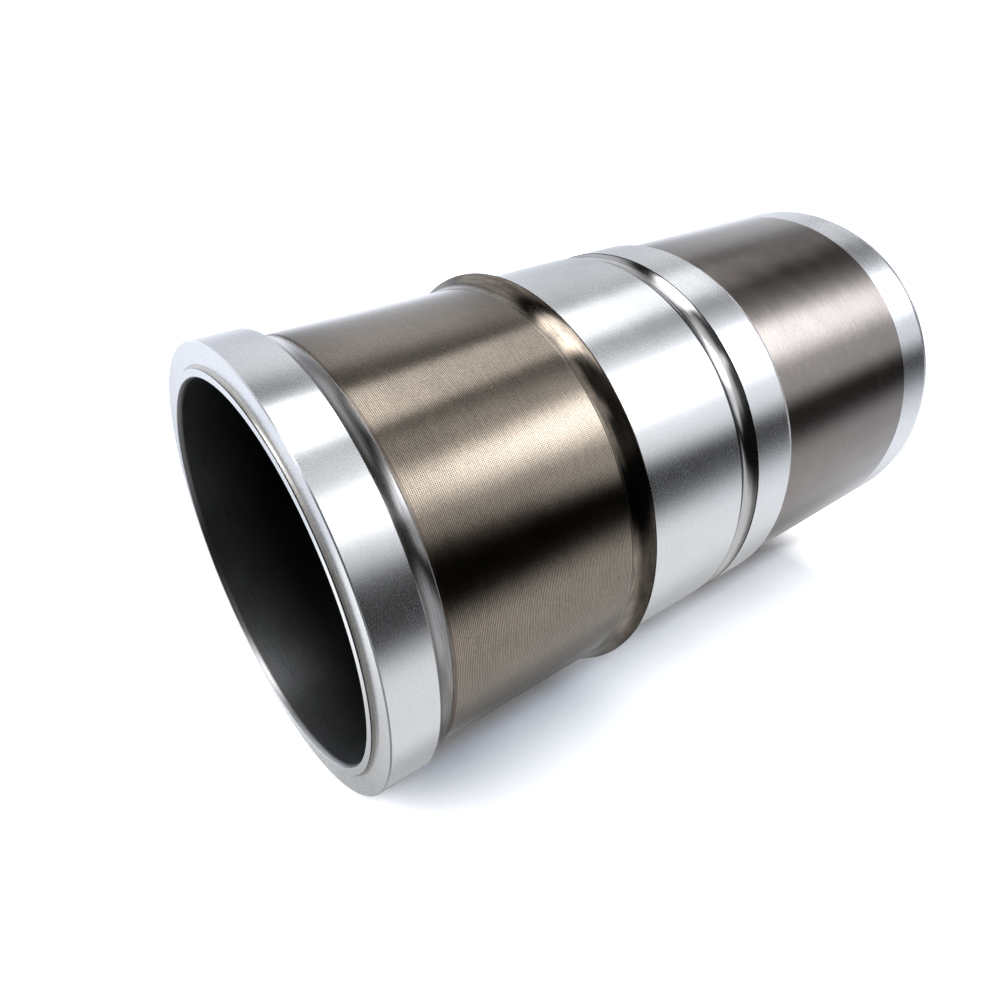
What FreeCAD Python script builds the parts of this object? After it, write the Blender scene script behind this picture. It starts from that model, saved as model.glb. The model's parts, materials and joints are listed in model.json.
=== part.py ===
import FreeCAD, Part
import math
import os

import Sketcher

# A wet cylinder liner of the mid-stop kind, turned and honed from one iron casting.
# It stands on its lower end: Z is the axis, the foot face is at Z = 0 and the fire ring is on top.

# Driving dimensions, in millimetres
DIMENSIONS = [
    ("bore_diameter", 130.0),
    ("liner_height", 271.8),
    ("upper_wall", 7.15),
    ("flange_overhang", 3.65),
    ("flange_depth", 15.8),
    ("flange_bevel", 0.4),
    ("flange_root_length", 6.9),
    ("flange_root_radius", 13.5),
    ("flange_root_relief", 0.25),
    ("fire_ring_width", 2.4),
    ("fire_ring_height", 1.4),
    ("fire_ring_fillet", 1.0),
    ("bore_mouth_widening", 0.5),
    ("bore_mouth_length", 1.8),
    ("stop_seat_depth", 98.3),
    ("stop_land", 0.5),
    ("stop_cove_length", 5.9),
    ("stop_cove_radius", 9.0),
    ("pilot_wall", 7.75),
    ("pilot_length", 72.9),
    ("pilot_lead_length", 3.1),
    ("seal_groove_drop", 45.6),
    ("seal_groove_width", 9.0),
    ("seal_groove_depth", 1.8),
    ("lower_wall", 6.05),
    ("foot_lead_length", 4.2),
    ("foot_lead_depth", 1.4),
    ("bore_foot_widening", 1.0),
    ("bore_foot_length", 2.5),
    ("edge_break", 0.2),
]

# Radii that follow from them, as the expressions that the sketches are bound to.
# The stop is turned to the flange's diameter, so that the liner drops in from above.
BORE = "Sizes.bore_diameter / 2"
BORE_MOUTH = BORE + " + Sizes.bore_mouth_widening"
FIRE_RING = BORE_MOUTH + " + Sizes.fire_ring_width"
UPPER_WALL = BORE + " + Sizes.upper_wall"
FLANGE = UPPER_WALL + " + Sizes.flange_overhang"
STOP = FLANGE
PILOT = BORE + " + Sizes.pilot_wall"
LOWER_WALL = BORE + " + Sizes.lower_wall"

# Heights above the foot face
FOOT = "0"
DECK = "Sizes.liner_height"
FIRE_RING_TOP = DECK + " + Sizes.fire_ring_height"
FLANGE_EDGE = DECK + " - Sizes.flange_depth"
FLANGE_ROOT = FLANGE_EDGE + " - Sizes.flange_root_length"
SEAT = DECK + " - Sizes.stop_seat_depth"
STOP_EDGE = SEAT + " + Sizes.stop_land"
COVE_START = STOP_EDGE + " + Sizes.stop_cove_length"
PILOT_END = SEAT + " - Sizes.pilot_length"
GROOVE_TOP = SEAT + " - Sizes.seal_groove_drop"
GROOVE_BOTTOM = GROOVE_TOP + " - Sizes.seal_groove_width"

# A groove of that width and depth has a bottom of this one radius
GROOVE_RADIUS = (
    "(Sizes.seal_groove_width ^ 2 / 4 + Sizes.seal_groove_depth ^ 2)"
    " / (2 * Sizes.seal_groove_depth)"
)

doc = FreeCAD.newDocument("cylinder_liner")
sheet = doc.addObject("Spreadsheet::Sheet", "Sizes")
for row, (alias, value) in enumerate(DIMENSIONS, start=1):
    sheet.set("A%d" % row, alias)
    sheet.set("B%d" % row, str(value))
    sheet.setAlias("B%d" % row, alias)
doc.recompute()


def worked_out(expression):
    """The number that an expression on the sheet gives now."""
    return float(sheet.evalExpression(expression))


# Sketching

def origin_feature(body, role):
    return next(item for item in body.Origin.OriginFeatures if item.Role == role)


def arc_between(start, end, radius):
    """An arc that bows towards the axis, with its centre on the side away from it."""
    chord = end - start
    to_centre = math.sqrt(radius ** 2 - (chord.Length / 2) ** 2)
    across = FreeCAD.Vector(chord.y, -chord.x, 0).normalize()
    if across.x < 0:
        across = across * -1
    centre = start + chord / 2 + across * to_centre
    circle = Part.Circle(centre, FreeCAD.Vector(0, 0, 1), radius)
    angles = [math.atan2(end_point.y - centre.y, end_point.x - centre.x) % (2 * math.pi)
              for end_point in (start, end)]
    return Part.ArcOfCircle(circle, min(angles), max(angles))


def closed_outline(sketch, corners):
    """Draws a closed outline and ties each corner, a radius and a height, to the sheet.

    A corner is (radius, height) or (radius, height, arc radius), where the last is the radius
    of the arc that leads from it to the next corner.
    """
    places = [FreeCAD.Vector(worked_out(corner[0]), worked_out(corner[1]), 0) for corner in corners]
    start_points = []
    end_points = []
    for index, corner in enumerate(corners):
        start = places[index]
        end = places[(index + 1) % len(corners)]
        if len(corner) == 2:
            edge = sketch.addGeometry(Part.LineSegment(start, end), False)
            start_points.append((edge, 1))
            end_points.append((edge, 2))
            continue
        arc = arc_between(start, end, worked_out(corner[2]))
        edge = sketch.addGeometry(arc, False)
        runs_forward = arc.StartPoint.distanceToPoint(start) < arc.EndPoint.distanceToPoint(start)
        start_points.append((edge, 1 if runs_forward else 2))
        end_points.append((edge, 2 if runs_forward else 1))
        rule = sketch.addConstraint(Sketcher.Constraint("Radius", edge, arc.Radius))
        sketch.setExpression("Constraints[%d]" % rule, corner[2])

    for index, corner in enumerate(corners):
        here = start_points[index]
        sketch.addConstraint(Sketcher.Constraint("Coincident", *end_points[index - 1], *here))
        across = Sketcher.Constraint("DistanceX", -1, 1, *here, places[index].x)
        rule = sketch.addConstraint(across)
        sketch.setExpression("Constraints[%d]" % rule, corner[0])
        if corner[1] == FOOT:
            sketch.addConstraint(Sketcher.Constraint("PointOnObject", *here, -1))
            continue
        up = Sketcher.Constraint("DistanceY", -1, 1, *here, places[index].y)
        rule = sketch.addConstraint(up)
        sketch.setExpression("Constraints[%d]" % rule, corner[1])


def section_sketch(body, name, corners):
    """A sketch on the body's XZ plane, where X is the radius and Y the height."""
    sketch = body.newObject("Sketcher::SketchObject", name)
    sketch.AttachmentSupport = (origin_feature(body, "XZ_Plane"), [""])
    sketch.MapMode = "FlatFace"
    doc.recompute()
    closed_outline(sketch, corners)
    doc.recompute()
    return sketch


def turned(body, kind, name, sketch):
    """Turns a section round the axis, as solid or as a cut."""
    feature = body.newObject(kind, name)
    feature.Profile = sketch
    feature.ReferenceAxis = (sketch, ["V_Axis"])
    feature.Angle = 360.0
    sketch.Visibility = False
    doc.recompute()
    return feature


# Edges

def circles(feature, places):
    """Names the round edges of a feature at the given (radius, height) places."""
    names = []
    for radius, height in places:
        found = [
            "Edge%d" % number
            for number, edge in enumerate(feature.Shape.Edges, start=1)
            if isinstance(edge.Curve, Part.Circle)
            and abs(edge.Curve.Radius - worked_out(radius)) < 1e-4
            and abs(edge.Curve.Center.z - worked_out(height)) < 1e-4
        ]
        if not found:
            raise RuntimeError("no edge at radius %s, height %s" % (radius, height))
        names += found
    return names


def dressed(body, kind, name, base, places, rule, alias):
    """A chamfer or fillet on round edges, with its size from the sheet."""
    feature = body.newObject(kind, name)
    feature.Base = (base, circles(base, places))
    feature.setExpression(rule, "Sizes." + alias)
    doc.recompute()
    return feature


# The liner

def cylinder_liner():
    body = doc.addObject("PartDesign::Body", "cylinder_liner")
    body.Label = "cylinder_liner"

    # Half section, from the foot up the outside and down the bore
    section = section_sketch(body, "half_section", [
        (BORE + " + Sizes.bore_foot_widening", FOOT),
        (LOWER_WALL + " - Sizes.foot_lead_depth", FOOT),
        (LOWER_WALL, "Sizes.foot_lead_length"),
        (LOWER_WALL, PILOT_END + " - Sizes.pilot_lead_length"),
        (PILOT, PILOT_END),
        (PILOT, SEAT),
        (STOP, SEAT),
        (STOP, STOP_EDGE, "Sizes.stop_cove_radius"),
        (UPPER_WALL, COVE_START),
        (UPPER_WALL, FLANGE_ROOT),
        (UPPER_WALL + " - Sizes.flange_root_relief", FLANGE_ROOT, "Sizes.flange_root_radius"),
        (FLANGE, FLANGE_EDGE),
        (FLANGE, DECK),
        (FIRE_RING, DECK),
        (FIRE_RING, FIRE_RING_TOP),
        (BORE_MOUTH, FIRE_RING_TOP),
        (BORE, FIRE_RING_TOP + " - Sizes.bore_mouth_length"),
        (BORE, "Sizes.bore_foot_length"),
    ])
    blank = turned(body, "PartDesign::Revolution", "turned_casting", section)

    # Round-bottomed groove for the coolant seal; its outline stands proud of the band to cut clean
    proud = PILOT + " + Sizes.seal_groove_depth"
    groove_section = section_sketch(body, "seal_groove_section", [
        (proud, GROOVE_BOTTOM),
        (proud, GROOVE_TOP),
        (PILOT, GROOVE_TOP, GROOVE_RADIUS),
        (PILOT, GROOVE_BOTTOM),
    ])
    grooved = turned(body, "PartDesign::Groove", "seal_groove", groove_section)
    if grooved.Shape.Volume > blank.Shape.Volume - 1.0:
        raise RuntimeError("the seal groove cut nothing")

    # Rounded root of the fire ring, and the bevel round the top of the flange
    ring_root = dressed(body, "PartDesign::Fillet", "fire_ring_root", grooved,
                        [(FIRE_RING, DECK)], "Radius", "fire_ring_fillet")
    bevelled = dressed(body, "PartDesign::Chamfer", "flange_bevel", ring_root,
                       [(FLANGE, DECK)], "Size", "flange_bevel")

    # Sharp corners taken off where the block or the seal ring could catch on them
    corners = [
        (FLANGE, FLANGE_EDGE),
        (PILOT, GROOVE_TOP),
        (PILOT, GROOVE_BOTTOM),
    ]
    dressed(body, "PartDesign::Chamfer", "broken_edges", bevelled,
            corners, "Size", "edge_break")
    return body


# Checks and export

def check_document():
    for item in doc.Objects:
        if "Invalid" in item.State or "Error" in item.State:
            raise RuntimeError("%s failed: %s" % (item.Name, item.State))


def export(body):
    shape = body.Shape
    if shape.isNull() or not shape.isValid() or len(shape.Solids) != 1:
        raise RuntimeError("%s is not one valid solid" % body.Label)
    os.makedirs("parts", exist_ok=True)
    shape.exportStep("parts/%s.step" % body.Label)
    box = shape.optimalBoundingBox()
    size = (box.XLength, box.YLength, box.ZLength)
    print("%s: %.1f x %.1f x %.1f mm, %.0f mm3" % (body.Label, *size, shape.Volume))


liner = cylinder_liner()
doc.recompute()
check_document()
export(liner)
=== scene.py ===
import json
import math
from collections import namedtuple

import bmesh
import bpy
from mathutils import Matrix, Vector


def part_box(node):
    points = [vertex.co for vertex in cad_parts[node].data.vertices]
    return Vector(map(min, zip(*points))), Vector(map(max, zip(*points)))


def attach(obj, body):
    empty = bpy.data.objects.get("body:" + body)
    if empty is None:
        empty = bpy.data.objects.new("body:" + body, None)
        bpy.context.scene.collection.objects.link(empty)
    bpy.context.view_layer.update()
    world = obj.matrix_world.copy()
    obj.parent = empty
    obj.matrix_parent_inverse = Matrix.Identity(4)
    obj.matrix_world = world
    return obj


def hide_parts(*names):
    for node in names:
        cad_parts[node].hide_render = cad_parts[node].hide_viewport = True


# A wet cylinder liner, standing on its foot: bright ground bands and phosphated walls.
# All lengths are metres. Z is the bore's axis, the foot is at Z = 0 and the fire ring is on top.

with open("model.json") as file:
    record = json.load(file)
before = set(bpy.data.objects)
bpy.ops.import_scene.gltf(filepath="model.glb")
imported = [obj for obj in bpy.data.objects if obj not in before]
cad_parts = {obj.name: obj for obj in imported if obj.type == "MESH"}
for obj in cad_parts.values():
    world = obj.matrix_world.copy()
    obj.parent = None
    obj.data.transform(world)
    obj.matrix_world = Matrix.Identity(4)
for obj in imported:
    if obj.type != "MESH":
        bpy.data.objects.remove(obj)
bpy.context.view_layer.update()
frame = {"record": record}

MM = 0.001
MICRON = 1e-6
MOUNTS = {mount["name"]: mount for mount in frame["record"]["mounts"]}


def mount_height(name):
    return MOUNTS[name]["pos_m"][2]


def mount_radius(name):
    return MOUNTS[name]["dims"]["r_mm"] * MM


# Sizes that the frame gives
FIRE_RING_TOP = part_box("cylinder_liner")[1].z
DECK = mount_height("deck_face")
SEAT = mount_height("stop_seat")
GROOVE_MIDDLE = mount_height("seal_groove")
BORE = mount_radius("piston_bore")
FLANGE = mount_radius("upper_pilot")
PILOT = mount_radius("lower_pilot")

# Radii, worked out from the bore
FIRE_RING = BORE + 2.9 * MM
BORE_MOUTH = BORE + 0.5 * MM
BORE_FOOT = BORE + 1.0 * MM
UPPER_WALL = BORE + 7.15 * MM
LOWER_WALL = BORE + 6.05 * MM
FOOT = LOWER_WALL - 1.4 * MM

# Heights of the changes along the outside and in the bore
FLANGE_EDGE = DECK - 15.8 * MM
FLANGE_ROOT = FLANGE_EDGE - 6.9 * MM
STOP_EDGE = SEAT + 0.5 * MM
COVE_START = STOP_EDGE + 5.9 * MM
PILOT_END = SEAT - 72.9 * MM
PILOT_LEAD = PILOT_END - 3.1 * MM
END_BAND = 20.2 * MM
FOOT_LEAD = 4.2 * MM
BORE_FOOT_EDGE = 2.5 * MM
BORE_MOUTH_EDGE = FIRE_RING_TOP - 1.8 * MM

# The seal groove is one arc; the last stretch of its upper side is painted dark, as painted shade
GROOVE_HALF_WIDTH = 4.5 * MM
GROOVE_DEPTH = 1.8 * MM
GROOVE_RADIUS = (GROOVE_HALF_WIDTH ** 2 + GROOVE_DEPTH ** 2) / (2 * GROOVE_DEPTH)
GROOVE_PAINTED_SHADE_SIDE = 2.5 * MM

# Rounds, reliefs and broken edges
COVE_RADIUS = 9.0 * MM
FLANGE_ROOT_RADIUS = 13.5 * MM
FLANGE_ROOT_RELIEF = 0.25 * MM
FIRE_RING_FILLET = 1.0 * MM
MOUTH_RADIUS = 3.5 * MM
FLANGE_BEVEL = 0.4 * MM
EDGE_BREAK = 0.2 * MM
FINE_BREAK = 0.08 * MM

# Fine ridges that the cutting edge left where the cove meets the upper wall
RIDGES = 2
RIDGE_HEIGHT = 0.04 * MM
RIDGE_WIDTH = 0.36 * MM
RIDGE_START = 0.4 * RIDGE_WIDTH
RIDGE_PITCH = 1.7 * RIDGE_WIDTH

# Plain rim of the upper wall's coat, next to the flange root
COAT_RIM = 1.2 * MM

# Fineness of the turned mesh
SEGMENTS = 360
ARC_STEP = math.radians(2.5)
SHARP_ANGLE = math.radians(8.0)


# Profile

class Profile:
    """A closed outline of (radius, height) points; each stretch carries the name of its finish."""

    def __init__(self, radius, height):
        self.points = [(radius, height)]
        self.finishes = []

    def line(self, radius, height, finish):
        self.points.append((radius, height))
        self.finishes.append(finish)

    def arc(self, radius, height, bend, finish):
        """An arc of radius bend to the given point, with its centre on the side away from the axis."""
        start = Vector(self.points[-1])
        end = Vector((radius, height))
        chord = end - start
        across = Vector((chord.y, -chord.x)).normalized()
        if across.x < 0:
            across.negate()
        centre = start + chord / 2 + across * math.sqrt(bend ** 2 - (chord.length / 2) ** 2)
        first = math.atan2(start.y - centre.y, start.x - centre.x)
        turn = math.atan2(end.y - centre.y, end.x - centre.x) - first
        turn = (turn + math.pi) % (2 * math.pi) - math.pi
        steps = max(2, math.ceil(abs(turn) / ARC_STEP))
        for step in range(1, steps + 1):
            angle = first + turn * step / steps
            self.line(centre.x + bend * math.cos(angle), centre.y + bend * math.sin(angle), finish)


def add_groove(outline):
    """The seal groove, from its lower corner up to its upper one."""
    half_opening = GROOVE_HALF_WIDTH - EDGE_BREAK
    corner = PILOT - EDGE_BREAK
    arc_centre = corner + math.sqrt(GROOVE_RADIUS ** 2 - half_opening ** 2)
    painted_shade_from = half_opening - GROOVE_PAINTED_SHADE_SIDE
    painted_shade_from_radius = arc_centre - math.sqrt(GROOVE_RADIUS ** 2 - painted_shade_from ** 2)

    outline.line(PILOT, GROOVE_MIDDLE - GROOVE_HALF_WIDTH - EDGE_BREAK, "ground")
    # The edge breaks and the last stretch of the upper side take the dark corner finish: painted shade
    outline.line(corner, GROOVE_MIDDLE - half_opening, "corner")
    outline.arc(painted_shade_from_radius, GROOVE_MIDDLE + painted_shade_from, GROOVE_RADIUS, "groove")
    outline.arc(corner, GROOVE_MIDDLE + half_opening, GROOVE_RADIUS, "corner")
    outline.line(PILOT, GROOVE_MIDDLE + GROOVE_HALF_WIDTH + EDGE_BREAK, "corner")


def liner_profile():
    """The half section: from the foot up the outside, then down the bore to where it started."""
    outline = Profile(BORE_FOOT, 0.0)

    # Foot and lower wall
    outline.line(FOOT, 0.0, "ground")
    outline.line(LOWER_WALL, FOOT_LEAD, "ground")
    outline.line(LOWER_WALL, END_BAND, "ground")
    outline.line(LOWER_WALL, PILOT_LEAD, "coated_fine")
    outline.line(PILOT - FINE_BREAK, PILOT_END - FINE_BREAK, "lead")

    # Lower pilot
    outline.line(PILOT, PILOT_END + FINE_BREAK, "lead")
    add_groove(outline)
    outline.line(PILOT, SEAT, "ground")

    # Stop and the cove above it
    outline.line(FLANGE - FINE_BREAK, SEAT, "seat")
    outline.line(FLANGE, SEAT + FINE_BREAK, "rim")
    outline.line(FLANGE, STOP_EDGE, "rim")
    outline.arc(UPPER_WALL, COVE_START, COVE_RADIUS, "cove")
    for ridge in range(RIDGES):
        foot = COVE_START + RIDGE_START + RIDGE_PITCH * ridge
        # Each ridge starts with a dark gap, painted shade, and rises in a light finish, a painted
        # highlight
        outline.line(UPPER_WALL, foot, "gap")
        outline.line(UPPER_WALL + RIDGE_HEIGHT, foot + RIDGE_WIDTH / 2, "ridge")
        outline.line(UPPER_WALL, foot + RIDGE_WIDTH, "ridge")

    # Upper wall, flange root and flange
    outline.line(UPPER_WALL, FLANGE_ROOT - COAT_RIM, "coated")
    outline.line(UPPER_WALL, FLANGE_ROOT, "coat_rim")
    outline.line(UPPER_WALL - FLANGE_ROOT_RELIEF, FLANGE_ROOT, "lip")
    outline.arc(FLANGE - EDGE_BREAK, FLANGE_EDGE - EDGE_BREAK, FLANGE_ROOT_RADIUS, "root")
    outline.line(FLANGE, FLANGE_EDGE + EDGE_BREAK, "root")
    outline.line(FLANGE, DECK - FLANGE_BEVEL, "ground")
    outline.line(FLANGE - FLANGE_BEVEL, DECK, "ground")

    # Deck face and fire ring
    outline.line(FIRE_RING + FIRE_RING_FILLET, DECK, "faced")
    outline.arc(FIRE_RING, DECK + FIRE_RING_FILLET, FIRE_RING_FILLET, "fillet")
    # The fire ring's outer side takes the dark corner finish: painted shade
    outline.line(FIRE_RING, FIRE_RING_TOP - FINE_BREAK, "corner")
    outline.line(FIRE_RING - FINE_BREAK, FIRE_RING_TOP, "faced")
    outline.line(BORE_MOUTH + FINE_BREAK, FIRE_RING_TOP, "faced")

    # Bore
    outline.line(BORE_MOUTH, FIRE_RING_TOP - FINE_BREAK, "faced")
    outline.arc(BORE, BORE_MOUTH_EDGE, MOUTH_RADIUS, "mouth")
    outline.line(BORE, BORE_FOOT_EDGE, "honed")
    outline.line(BORE_FOOT, 0.0, "mouth")
    return outline


def turned_piece(name, outline, finishes):
    """Turns the outline round Z; each stretch takes the material of its finish."""
    mesh = bpy.data.meshes.new(name)
    slots = {}
    for finish, material in finishes.items():
        slots[finish] = len(mesh.materials)
        mesh.materials.append(material)
    shape = bmesh.new()
    rings = []
    for radius, height in outline.points[:-1]:
        ring = []
        for segment in range(SEGMENTS):
            angle = 2 * math.pi * segment / SEGMENTS
            ring.append(shape.verts.new((radius * math.cos(angle), radius * math.sin(angle), height)))
        rings.append(ring)
    for index, finish in enumerate(outline.finishes):
        ring = rings[index]
        following = rings[(index + 1) % len(rings)]
        for segment in range(SEGMENTS):
            beside = (segment + 1) % SEGMENTS
            face = shape.faces.new((ring[segment], ring[beside], following[beside], following[segment]))
            face.material_index = slots[finish]
            face.smooth = True
    bmesh.ops.recalc_face_normals(shape, faces=shape.faces)
    shape.to_mesh(mesh)
    shape.free()
    mesh.set_sharp_from_angle(angle=SHARP_ANGLE)
    piece = bpy.data.objects.new(name, mesh)
    bpy.context.scene.collection.objects.link(piece)
    return piece


# Node helpers

class Graph:
    """Short calls that add nodes to one node tree and join them.

    Where a call takes a value, that is another node's socket or a plain number, colour or vector.
    """

    def __init__(self, tree):
        self.tree = tree
        tree.nodes.clear()

    def add(self, kind, **settings):
        node = self.tree.nodes.new(kind)
        for key, value in settings.items():
            setattr(node, key, value)
        return node

    def join(self, value, socket):
        if isinstance(value, bpy.types.NodeSocket):
            self.tree.links.new(value, socket)
        else:
            socket.default_value = value

    def filled(self, node, *values):
        """Feeds a node's first inputs with the values and gives its first output."""
        for index, value in enumerate(values):
            self.join(value, node.inputs[index])
        return node.outputs[0]

    def feed(self, node, inputs):
        """Feeds a node's inputs by their names."""
        for name, value in inputs.items():
            self.join(value, node.inputs[name])

    def math(self, operation, *values):
        return self.filled(self.add("ShaderNodeMath", operation=operation), *values)

    def fold(self, operation, values):
        """Puts one operation between all the values, from the first to the last."""
        result = values[0]
        for value in values[1:]:
            result = self.math(operation, result, value)
        return result

    def total(self, *values):
        return self.fold("ADD", values)

    def product(self, *values):
        return self.fold("MULTIPLY", values)

    def largest(self, *values):
        return self.fold("MAXIMUM", values)

    def smooth(self, value, low, high, start=0.0, end=1.0):
        """Goes smoothly from start to end as value goes from low to high."""
        node = self.add("ShaderNodeMapRange", interpolation_type="SMOOTHSTEP")
        return self.filled(node, value, low, high, start, end)

    def window(self, value, low, high, soft):
        """One between low and high, nothing outside, with soft edges."""
        return self.product(self.smooth(value, low - soft, low + soft),
                            self.smooth(value, high - soft, high + soft, start=1.0, end=0.0))

    def separate(self, vector):
        """The X, Y and Z of a vector."""
        node = self.add("ShaderNodeSeparateXYZ")
        self.filled(node, vector)
        return tuple(node.outputs)

    def measure(self, operation, *vectors):
        """One number from vectors, such as a length, a distance or a dot product."""
        node = self.add("ShaderNodeVectorMath", operation=operation)
        self.filled(node, *vectors)
        return node.outputs["Value"]

    def noise(self, vector, scale, detail, roughness):
        """Noise that swings about zero."""
        node = self.add("ShaderNodeTexNoise", noise_dimensions="3D")
        self.feed(node, {"Vector": vector, "Scale": scale, "Detail": detail, "Roughness": roughness})
        return self.math("SUBTRACT", node.outputs["Fac"], 0.5)

    def mix_colour(self, share, first, second):
        node = self.add("ShaderNodeMix", data_type="RGBA")
        self.feed(node, {"Factor": share, "A": first, "B": second})
        return node.outputs["Result"]

    def mix_shaders(self, share, first, second):
        return self.filled(self.add("ShaderNodeMixShader"), share, first, second)

    def give_out(self, shader, kind="ShaderNodeOutputMaterial"):
        """Makes a shader the surface of the material or the world."""
        self.feed(self.add(kind), {"Surface": shader})


def new_material(name):
    """A material, and the empty graph of its nodes."""
    material = bpy.data.materials.new(name)
    material.use_nodes = True
    return material, Graph(material.node_tree)


# Metal finishes

STEEL_LIGHT = (0.90, 0.925, 0.95)
STEEL_DARK = (0.68, 0.70, 0.73)
COAT_LIGHT = (0.345, 0.283, 0.222)
COAT_DARK = (0.05, 0.039, 0.027)
COVE_LIGHT = (0.27, 0.22, 0.17)
COVE_DARK = (0.068, 0.052, 0.037)
FINE_COAT_LIGHT = (0.275, 0.242, 0.222)
FINE_COAT_DARK = (0.170, 0.148, 0.134)
# Painted shade: the colour that the honed bore darkens to with depth
BORE_PAINTED_SHADE = (0.028, 0.029, 0.031, 1.0)

# How fine the marks are, in steps of noise to the metre
LAY_ROUND_AXIS = 110.0
LAY_ALONG_AXIS = 1900.0
GRAIN_FINENESS = 1500.0
PATCH_FINENESS = 90.0

# Noise seldom leaves the middle of its range, so its contrast is raised
NOISE_CONTRAST = 4.0

# How far the grain moves the roughness
GRAIN_ROUGHNESS = 0.04

# Turning lines
LINE_WANDER = 1.2
CHATTERS_ROUND_AXIS = 820.0
CHATTER_SHARE = 0.6

# The film of oil, and the quarter turn that stretches the highlights across the marks
OIL_ROUGHNESS = 0.16
OIL_INDEX = 1.6
QUARTER_TURN = 0.25


def lay_marks(graph, x, y, along):
    """Random marks, long round the axis and fine along it."""
    place = graph.filled(graph.add("ShaderNodeCombineXYZ"),
                         graph.math("MULTIPLY", x, LAY_ROUND_AXIS),
                         graph.math("MULTIPLY", y, LAY_ROUND_AXIS),
                         graph.math("MULTIPLY", along, LAY_ALONG_AXIS))
    return graph.noise(place, scale=1.0, detail=2.0, roughness=0.6)


def turning_lines(graph, x, y, along, pitch, patches):
    """Even lines a pitch apart that wander a little, with a faint chatter between them."""
    phase = graph.total(graph.math("MULTIPLY", patches, LINE_WANDER),
                        graph.math("MULTIPLY", along, 2 * math.pi / pitch))
    turns = graph.math("SINE", phase)
    angle = graph.math("ARCTAN2", y, x)
    chatter = graph.math("SINE", graph.math("MULTIPLY", angle, CHATTERS_ROUND_AXIS))
    return graph.total(turns, graph.math("MULTIPLY", chatter, CHATTER_SHARE))


def turned_metal(name, light, dark, roughness, anisotropy, lay=0.3, lay_depth=0.0, speckle=0.3,
                 pitch=0.0, pitch_contrast=0.0, haze=0.0, oil=0.0, edge_shine=1.0, mottle=0.10,
                 blotches=0.5, painted_shade_depth=0.0, across=False):
    """Metal with the marks of turning or grinding, which run round the axis.

    light and dark are the colours that the marks move between. lay is the contrast of the random
    marks round the axis and lay_depth their height, speckle the contrast of the fine grain, and
    pitch the distance between even turning lines. haze is the share of light that fine scratches
    scatter, and oil the share of the surface under a film of oil. mottle is how much the roughness
    wanders from place to place and blotches how much the colour does. painted_shade_depth is how far
    down from the top the bore's colour darkens into painted shade, which stands in for the light falling
    off into the bore. across is for faces that lie square to the axis, where the marks are rings of
    different radius.
    """
    material, graph = new_material(name)
    place = graph.add("ShaderNodeTexCoord").outputs["Object"]
    x, y, z = graph.separate(place)
    along = z
    if across:
        along = graph.math("SQRT", graph.total(graph.math("POWER", x, 2.0), graph.math("POWER", y, 2.0)))
    marks = lay_marks(graph, x, y, along)
    grain = graph.noise(place, GRAIN_FINENESS, detail=2.0, roughness=0.6)
    patches = graph.noise(place, PATCH_FINENESS, detail=3.0, roughness=0.55)

    # Where the colour stands between dark and light
    tint = graph.total(graph.math("MULTIPLY", marks, NOISE_CONTRAST * lay),
                       graph.math("MULTIPLY", grain, NOISE_CONTRAST * speckle),
                       graph.math("MULTIPLY", patches, blotches))
    if pitch:
        lines = turning_lines(graph, x, y, along, pitch, patches)
        tint = graph.total(tint, graph.math("MULTIPLY", lines, pitch_contrast))
    colour = graph.mix_colour(graph.total(tint, 0.5), (*dark, 1.0), (*light, 1.0))
    # Painted shade: the bore's colour darkens to BORE_PAINTED_SHADE over painted_shade_depth below the
    # top
    if painted_shade_depth:
        lit_share = graph.smooth(z, FIRE_RING_TOP - painted_shade_depth, FIRE_RING_TOP)
        colour = graph.mix_colour(lit_share, BORE_PAINTED_SHADE, colour)

    shader = graph.add("ShaderNodeBsdfPrincipled")
    settings = {
        "Base Color": colour,
        "Metallic": 1.0 - haze,
        "Roughness": graph.total(graph.math("MULTIPLY", patches, mottle),
                                 graph.math("MULTIPLY", grain, GRAIN_ROUGHNESS), roughness),
        "Anisotropic": anisotropy,
        "Anisotropic Rotation": QUARTER_TURN,
        "Tangent": graph.add("ShaderNodeTangent", direction_type="RADIAL", axis="Z").outputs[0],
        "Specular Tint": (edge_shine, edge_shine, edge_shine, 1.0),
        "Coat Weight": oil,
        "Coat Roughness": OIL_ROUGHNESS,
        "Coat IOR": OIL_INDEX,
    }
    if lay_depth:
        bump = graph.add("ShaderNodeBump")
        height = graph.math("MULTIPLY", marks, lay_depth)
        graph.feed(bump, {"Strength": 1.0, "Distance": 1.0, "Height": height})
        settings["Normal"] = bump.outputs[0]
    graph.feed(shader, settings)
    graph.give_out(shader.outputs[0])
    return material


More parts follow.
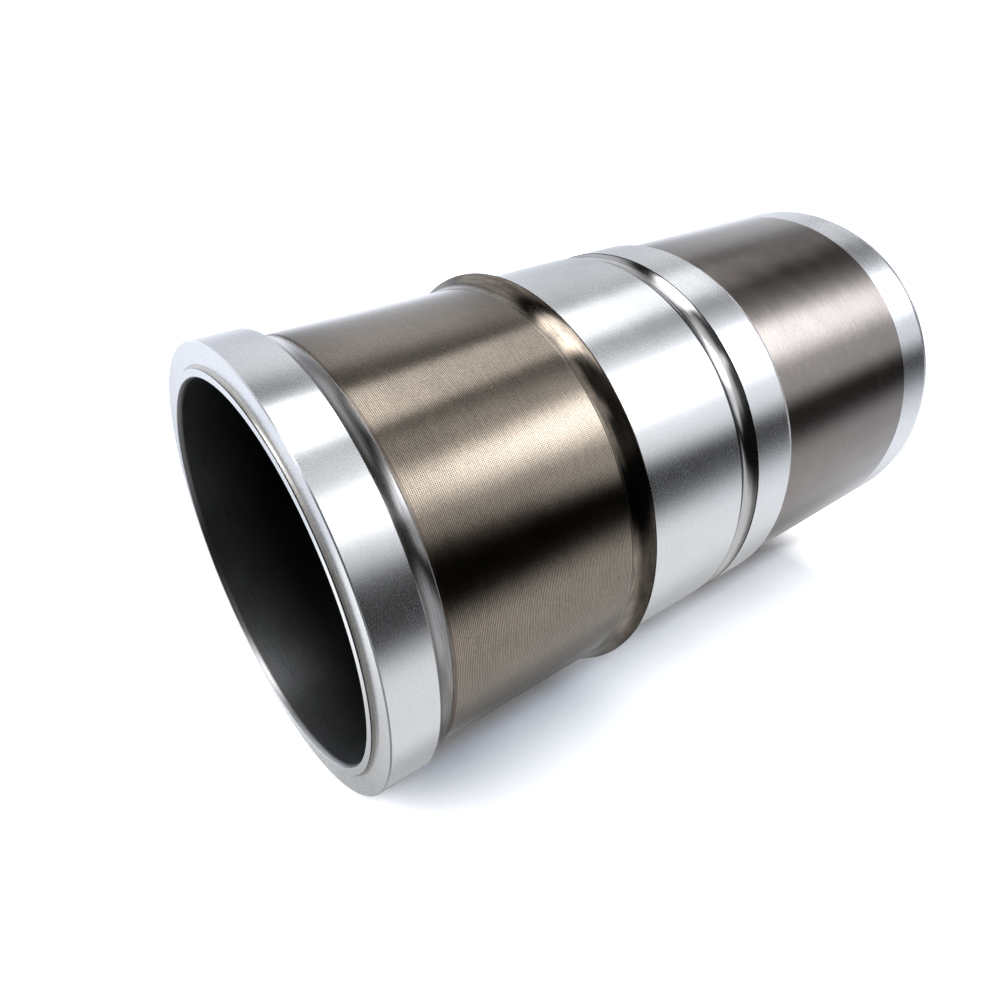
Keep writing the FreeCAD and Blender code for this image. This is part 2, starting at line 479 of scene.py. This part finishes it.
FINISHES = {
    # Bright steel
    "ground": turned_metal("ground_steel", STEEL_LIGHT, STEEL_DARK, roughness=0.27, anisotropy=0.8,
                           lay=0.10, speckle=0.14, haze=0.035, mottle=0.05),
    "faced": turned_metal("faced_steel", STEEL_LIGHT, STEEL_DARK, roughness=0.27, anisotropy=0.7,
                          lay=0.10, speckle=0.14, haze=0.05, mottle=0.05, across=True),
    "fillet": turned_metal("ring_fillet", (0.62, 0.61, 0.59), (0.40, 0.39, 0.37),
                           roughness=0.4, anisotropy=0.5, lay=0.3, haze=0.15, across=True),
    "root": turned_metal("root_steel", (0.35, 0.345, 0.34), (0.18, 0.177, 0.172),
                         roughness=0.2, anisotropy=0.7, lay=0.4, lay_depth=4 * MICRON, speckle=0.1),
    "lead": turned_metal("lead_steel", (0.86, 0.86, 0.87), (0.62, 0.62, 0.63),
                         roughness=0.34, anisotropy=0.5, lay=0.3, speckle=0.2, haze=0.5),
    "lip": turned_metal("lip_steel", (0.80, 0.80, 0.82), (0.60, 0.60, 0.62),
                        roughness=0.4, anisotropy=0.3, haze=0.5),
    "seat": turned_metal("seat_steel", STEEL_LIGHT, STEEL_DARK, roughness=0.28, anisotropy=0.6,
                         across=True),
    "groove": turned_metal("groove_steel", (0.64, 0.64, 0.65), (0.46, 0.46, 0.47),
                           roughness=0.18, anisotropy=0.6, lay=0.3, speckle=0.1),

    # Phosphate, most of it under a film of oil
    "coated": turned_metal("phosphate_turned", COAT_LIGHT, COAT_DARK, roughness=0.2, anisotropy=0.8,
                           lay=0.15, lay_depth=3 * MICRON, speckle=0.3, pitch=0.58 * MM,
                           pitch_contrast=0.55, oil=1.0, edge_shine=0.3),
    "cove": turned_metal("phosphate_cove", COVE_LIGHT, COVE_DARK, roughness=0.15, anisotropy=0.6,
                         lay=0.5, lay_depth=3 * MICRON, speckle=0.2, blotches=2.0, oil=1.0,
                         edge_shine=0.3),
    "coated_fine": turned_metal("phosphate_fine", FINE_COAT_LIGHT, FINE_COAT_DARK,
                                roughness=0.22, anisotropy=0.8, lay=0.2, speckle=0.25,
                                blotches=0.9, haze=0.04, oil=1.0, edge_shine=0.3),
    "coat_rim": turned_metal("phosphate_rim", (0.22, 0.18, 0.15), (0.10, 0.08, 0.065),
                             roughness=0.25, anisotropy=0.7, oil=0.5, edge_shine=0.3),
    "rim": turned_metal("stop_rim", (0.05, 0.042, 0.036), (0.03, 0.024, 0.02),
                        roughness=0.35, anisotropy=0.5, edge_shine=0.3),
    # Painted shade in the gaps between the ridges, and a painted highlight on the ridges
    "gap": turned_metal("ridge_gap_painted_shade", (0.10, 0.08, 0.065), (0.05, 0.04, 0.03),
                        roughness=0.3, anisotropy=0.5, edge_shine=0.3),
    "ridge": turned_metal("phosphate_ridge_painted_highlight", (0.34, 0.30, 0.26), (0.25, 0.22, 0.19),
                          roughness=0.2, anisotropy=0.6, oil=1.0),

    # Corners and edges painted dark as painted shade, and the bore, darkened with depth by painted shade
    # Painted shade: a near-black finish for edge breaks, the groove's upper side and the fire ring's
    # side
    "corner": turned_metal("painted_shade_corner", (0.05, 0.05, 0.05), (0.03, 0.03, 0.03),
                           roughness=0.35, anisotropy=0.5),
    "mouth": turned_metal("mouth_steel", (0.48, 0.48, 0.49), (0.36, 0.36, 0.37),
                          roughness=0.4, anisotropy=0.3),
    # Painted shade darkens the honed bore over its top 34 mm, and it stays dark below
    "honed": turned_metal("honed_bore", (0.23, 0.24, 0.25), (0.14, 0.145, 0.15),
                          roughness=0.40, anisotropy=0.0, haze=0.03, painted_shade_depth=34 * MM),
}

liner = turned_piece("liner_turned", liner_profile(), FINISHES)
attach(liner, "root")
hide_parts("cylinder_liner")


# Studio light

# The metal's reflections come from a dim studio with soft lights in it, laid out by direction.
# Turn is degrees round the bore's axis, from -Y towards -X; fall is degrees below level.
# A light spans a stretch of turn and one of fall, each written as from, to and soft edge.
Light = namedtuple("Light", "turn fall brightness")
LIGHTS = {
    "ground": Light((58, 116, 11), (2, 90, 12), 0.88),
    "distant_ground": Light((60, 116, 11), (-90, 2, 12), 0.25),
    "shaded_ground": Light((116, 140, 14), (-8, 52, 12), 0.56),
    "deep_shade": Light((140, 200, 10), (-4, 52, 10), 0.46),
    "ground_past_the_shade": Light((116, 184, 14), (52, 100, 8), 0.95),
    "distant_shade": Light((116, 200, 12), (-90, -4, 10), 0.20),
    "backdrop": Light((140, 200, 10), (-80, -16, 3), 0.74),
    "backdrop_beyond": Light((-200, -158, 8), (-80, -15, 4), 0.44),
    "ground_behind": Light((-172, -143, 12), (-80, 100, 12), 0.50),
    "white_wall": Light((-172, -89, 8), (2, 46, 6), 0.53),
    "low_white_wall": Light((-172, -99, 8), (46, 100, 6), 0.66),
    "distant_wall": Light((-200, -108, 8), (-90, 2, 12), 0.38),
    "high_wall": Light((-150, -92, 8), (-50, 6, 14), 0.62),
    "far_high_wall": Light((-150, -116, 10), (-90, -50, 14), 0.36),
    "beside_the_first": Light((-58, -43, 7), (-66, -14, 8), 0.80),
    "tail_of_the_second": Light((-15, -9, 4), (-16, 5, 8), 1.40),
    "wall_beside": Light((-156, -92, 10), (21, 33, 4), 0.60),
    "low_wall_beside": Light((-156, -106, 10), (46, 62, 4), 0.36),
    "low_ground_beyond": Light((84, 170, 8), (50, 100, 4), 0.22),
    "top_glow": Light((171, 200, 4), (-24, 4, 5), 0.90),
    "top_glow_beyond": Light((-200, -176, 3), (-24, 4, 5), 0.45),
    "grey_wall": Light((-92, -40, 8), (16, 48, 8), 0.26),
    "low_grey_wall": Light((-98, -74, 8), (48, 90, 8), 0.28),
    "low_far_wall": Light((-54, -42, 6), (38, 90, 10), 0.22),
}
DARKEST = 0.002
EVEN_LIGHT = 0.45
FLANGE_SHADE = 0.55
WHITE = (1.0, 1.0, 1.0, 1.0)
COOL = (0.94, 0.97, 1.06, 1.0)


def leaning(graph, fall, start, limit, per_degree):
    """How far an edge leans at a fall: it leans from start on, for limit degrees of fall at most."""
    past = graph.math("MINIMUM", graph.math("MAXIMUM", graph.math("SUBTRACT", fall, start), 0.0), limit)
    return graph.math("MULTIPLY", past, per_degree)


def first_softbox(graph, turn, fall):
    """The long softbox further from the front, which leans both ways and ends half way down."""
    rise = graph.math("MULTIPLY", fall, -1.0)
    leant = graph.total(turn, leaning(graph, fall, start=20.0, limit=22.0, per_degree=0.55),
                        leaning(graph, rise, start=14.0, limit=60.0, per_degree=0.13))
    return graph.product(graph.window(leant, -70.0, -46.0, 4.0),
                         graph.smooth(fall, -10.0, 36.0, start=4.9, end=1.3),
                         graph.smooth(fall, 41.0, 52.0, start=1.0, end=0.0),
                         graph.smooth(fall, -76.0, -28.0))


def second_softbox(graph, turn, fall):
    """The long softbox near the front, which is brightest about 40 degrees below level."""
    leant = graph.total(turn, leaning(graph, fall, start=32.0, limit=10.0, per_degree=0.9))
    return graph.product(graph.smooth(leant, -27.0, -13.0),
                         graph.smooth(turn, -14.0, 7.0, start=1.0, end=0.0),
                         graph.smooth(fall, 14.0, 38.0, start=0.47, end=4.5),
                         graph.smooth(fall, -4.0, 8.0),
                         graph.smooth(fall, 46.0, 58.0, start=1.0, end=0.42),
                         graph.smooth(fall, 62.0, 76.0, start=1.0, end=2.2))


def spilt_light(graph, turn, fall):
    """The light that the second softbox spills on the wall beside it."""
    leant = graph.math("SUBTRACT", turn, leaning(graph, fall, start=28.0, limit=15.0, per_degree=0.9))
    return graph.product(graph.smooth(turn, -48.0, -34.0),
                         graph.smooth(leant, 6.0, 21.0, start=1.0, end=0.0),
                         graph.smooth(fall, -6.0, 6.0, start=0.06, end=0.6),
                         graph.smooth(fall, 10.0, 42.0, start=1.0, end=1.9),
                         graph.smooth(fall, 46.0, 58.0, start=1.0, end=0.85),
                         graph.smooth(fall, 64.0, 72.0, start=1.0, end=0.1))


def unshaded(graph, turn, fall):
    """The share of the light that is left where the liner stands in its way."""
    under_the_object = graph.smooth(fall, 68.0, 80.0, start=1.0, end=0.15)
    flange_shadow = graph.product(graph.window(turn, 132.0, 200.0, 12.0),
                                  graph.window(fall, 20.0, 31.0, 4.0), FLANGE_SHADE)
    own_shadow = graph.product(graph.window(turn, 150.0, 186.0, 5.0),
                               graph.smooth(fall, 26.0, 44.0, start=0.42, end=0.12),
                               graph.smooth(fall, 0.0, 10.0))
    return graph.product(under_the_object, graph.math("SUBTRACT", 1.0, flange_shadow),
                         graph.math("SUBTRACT", 1.0, own_shadow))


def studio_brightness(graph, turn, fall):
    """All the lights together, less what the liner shades."""
    boxes = graph.total(first_softbox(graph, turn, fall), second_softbox(graph, turn, fall),
                        spilt_light(graph, turn, fall))
    brightness = graph.total(boxes, DARKEST)
    for light in LIGHTS.values():
        shape = graph.product(graph.window(turn, *light.turn), graph.window(fall, *light.fall))
        brightness = graph.total(brightness, graph.math("MULTIPLY", shape, light.brightness))
    return graph.product(brightness, unshaded(graph, turn, fall))


def studio_colour(graph, turn, fall):
    """The studio's light turns cooler behind the liner and towards the ground."""
    behind = graph.smooth(turn, -150.0, -85.0, start=1.0, end=0.0)
    below = graph.smooth(fall, 42.0, 58.0, start=0.0, end=0.7)
    return graph.mix_colour(graph.largest(behind, below), WHITE, COOL)


def studio_angles(graph):
    """Turn and fall, in degrees, of the direction that the world shader is asked for."""
    x, y, z = graph.separate(graph.add("ShaderNodeTexCoord").outputs["Generated"])
    turn = graph.math("ARCTAN2", graph.math("MULTIPLY", x, -1.0), graph.math("MULTIPLY", y, -1.0))
    fall = graph.math("ARCSINE", graph.math("MULTIPLY", z, -1.0))
    return graph.math("DEGREES", turn), graph.math("DEGREES", fall)


def background(graph, colour, strength):
    return graph.filled(graph.add("ShaderNodeBackground"), colour, strength)


def studio_world():
    """White to the camera, the laid-out studio to the metal, and an even soft light to the floor."""
    world = bpy.data.worlds.new("studio")
    world.use_nodes = True
    bpy.context.scene.world = world
    graph = Graph(world.node_tree)
    turn, fall = studio_angles(graph)
    even = background(graph, WHITE, EVEN_LIGHT)
    studio = background(graph, studio_colour(graph, turn, fall), studio_brightness(graph, turn, fall))
    white = background(graph, WHITE, 1.0)
    rays = graph.add("ShaderNodeLightPath").outputs
    lit = graph.mix_shaders(rays["Is Glossy Ray"], even, studio)
    is_seen = graph.largest(rays["Is Camera Ray"], rays["Is Transmission Ray"])
    graph.give_out(graph.mix_shaders(is_seen, lit, white), "ShaderNodeOutputWorld")


studio_world()


# Floor and backdrop, with shadows painted near the liner, and the key light

BACKDROP_FACING = Vector((0.7787, -0.6274, 0.0))
ALONG_BACKDROP = BACKDROP_FACING.cross(Vector((0.0, 0.0, 1.0)))
LINER_MIDDLE = Vector((0.0, 0.0, FIRE_RING_TOP / 2))
STAGE_HALF_WIDTH = 3.0
STAGE_WHITE = (0.8, 0.8, 0.8, 1.0)
# Colours of the shadows painted on the floor and backdrop near the liner
FLOOR_PAINTED_SHADOW = (0.40, 0.42, 0.46, 1.0)
BACKDROP_PAINTED_SHADOW = (0.15, 0.185, 0.245, 1.0)


def backdrop_painted_shadow(graph, place, away):
    """Paints a shadow on the backdrop, darkest along the line where it touches the liner."""
    height = graph.separate(place)[2]
    from_contact = graph.math("ABSOLUTE", graph.measure("DOT_PRODUCT", place, ALONG_BACKDROP))
    # Painted shadow: lighter below the stop, gone at the floor and over the top of the liner
    below_the_stop = graph.smooth(height, SEAT - 35 * MM, SEAT + 10 * MM, start=0.19, end=0.0)
    at_the_floor = graph.smooth(height, 10 * MM, 50 * MM, start=1.0, end=0.0)
    over_the_top = graph.smooth(height, 285 * MM, 350 * MM)
    # Painted shadow: the glow is weak within 34 to 46 mm of the contact line
    beside_the_contact = graph.smooth(from_contact, 34 * MM, 46 * MM)
    whiteness = graph.largest(away, below_the_stop, at_the_floor, over_the_top)
    glow = graph.largest(away, at_the_floor, beside_the_contact)
    return whiteness, glow


def floor_painted_shadow(graph, place, away):
    """Paints a shadow on the floor behind the foot, and clears it where the floor meets the backdrop."""
    along = graph.measure("DOT_PRODUCT", place, ALONG_BACKDROP)
    forward = graph.measure("DOT_PRODUCT", place, BACKDROP_FACING)
    corner = graph.product(graph.smooth(along, 0.0, 36 * MM),
                           graph.smooth(forward, -FLANGE - 50 * MM, -FLANGE),
                           graph.smooth(forward, 20 * MM - FLANGE, 0.0, start=1.0, end=0.0))
    # Painted shadow: a ring round the foot, kept only behind it
    at_the_front = graph.smooth(graph.separate(place)[1], 0.0, 60 * MM, start=1.0, end=0.0)
    off_the_foot = graph.smooth(graph.measure("LENGTH", place), FOOT, FOOT + 30 * MM)
    whiteness = graph.largest(away, corner)
    glow = graph.largest(whiteness, at_the_front, off_the_foot)
    return whiteness, glow


def pale_ground(name, shade, clearing, clear_behind=False):
    """A white that glows for the camera over the diffuse light's real shadows; near the liner the glow
    is weakened, so a painted shadow shows there in the colour of shade.

    clearing gives, place by place, how white the painted shadow has turned and how strongly the glow
    shines.
    With clear_behind the back can be seen through.
    """
    material, graph = new_material(name)
    geometry = graph.add("ShaderNodeNewGeometry").outputs
    from_middle = graph.measure("DISTANCE", geometry["Position"], LINER_MIDDLE)
    away = graph.smooth(from_middle, 125 * MM, 210 * MM)
    whiteness, strength = clearing(graph, geometry["Position"], away)
    lit = graph.add("ShaderNodeBsdfDiffuse")
    lit.inputs["Color"].default_value = STAGE_WHITE
    # Painted shadow: the glow, shaded and weakened near the liner, is added to the diffuse white
    glow = graph.filled(graph.add("ShaderNodeEmission"),
                        graph.mix_colour(whiteness, shade, WHITE), strength)
    glowing = graph.filled(graph.add("ShaderNodeAddShader"), lit.outputs[0], glow)
    rays = graph.add("ShaderNodeLightPath").outputs
    is_seen = graph.largest(rays["Is Camera Ray"], rays["Is Glossy Ray"], rays["Is Transmission Ray"])
    surface = graph.mix_shaders(is_seen, lit.outputs[0], glowing)
    if clear_behind:
        clear = graph.add("ShaderNodeBsdfTransparent").outputs[0]
        surface = graph.mix_shaders(geometry["Backfacing"], surface, clear)
    graph.give_out(surface)
    return material


def stage_plane(name, place, facing, material):
    """A wide square of the set, centred on place and facing the given way."""
    mesh = bpy.data.meshes.new(name)
    corners = [(STAGE_HALF_WIDTH * x, STAGE_HALF_WIDTH * y, 0.0)
               for x, y in ((-1, -1), (1, -1), (1, 1), (-1, 1))]
    mesh.from_pydata(corners, [], [(0, 1, 2, 3)])
    mesh.materials.append(material)
    plane = bpy.data.objects.new(name, mesh)
    plane.rotation_euler = facing.to_track_quat("Z", "Y").to_euler()
    plane.location = place
    plane.visible_glossy = False
    bpy.context.scene.collection.objects.link(plane)
    return plane


def soft_lamp(name, direction, distance, size, power):
    """A square lamp that shines at the liner's middle and that the metal does not mirror."""
    data = bpy.data.lights.new(name, "AREA")
    data.shape = "SQUARE"
    data.size = size
    data.energy = power
    lamp = bpy.data.objects.new(name, data)
    towards = direction.normalized()
    lamp.location = LINER_MIDDLE + towards * distance
    lamp.rotation_euler = towards.to_track_quat("Z", "Y").to_euler()
    lamp.visible_glossy = False
    lamp.visible_camera = False
    bpy.context.scene.collection.objects.link(lamp)


stage_plane("floor", Vector((0.0, 0.0, 0.0)), Vector((0.0, 0.0, 1.0)),
            pale_ground("floor_white_painted_shadow", FLOOR_PAINTED_SHADOW, floor_painted_shadow))
backdrop = stage_plane("backdrop", -BACKDROP_FACING * FLANGE, BACKDROP_FACING,
                       pale_ground("backdrop_white_painted_shadow", BACKDROP_PAINTED_SHADOW, backdrop_painted_shadow,
                                   clear_behind=True))
backdrop.visible_diffuse = False
backdrop.visible_transmission = False
backdrop.visible_shadow = False
soft_lamp("key", Vector((0.45, -0.63, 0.54)), distance=1.2, size=0.6, power=16.0)


# Camera, in the photo's place round the liner

CAMERA_PLACE = Vector((0.0, -0.25334, 0.33017))
CAMERA_RIGHT = Vector((-0.38408, -0.47677, -0.79068))
CAMERA_UP = Vector((0.92297, -0.17539, -0.34258))
CAMERA_LENS = 28.01
CAMERA_SENSOR = 36.0
CAMERA_NEAR = 10 * MM
CAMERA_FAR = 50.0


def photo_camera():
    data = bpy.data.cameras.new("camera")
    data.lens = CAMERA_LENS
    data.sensor_width = CAMERA_SENSOR
    data.clip_start = CAMERA_NEAR
    data.clip_end = CAMERA_FAR
    camera = bpy.data.objects.new("camera", data)
    axes = Matrix((CAMERA_RIGHT, CAMERA_UP, CAMERA_RIGHT.cross(CAMERA_UP))).transposed()
    camera.matrix_world = Matrix.Translation(CAMERA_PLACE) @ axes.to_4x4()
    bpy.context.scene.collection.objects.link(camera)
    bpy.context.scene.camera = camera


photo_camera()

bpy.context.scene.view_settings.view_transform = "Standard"
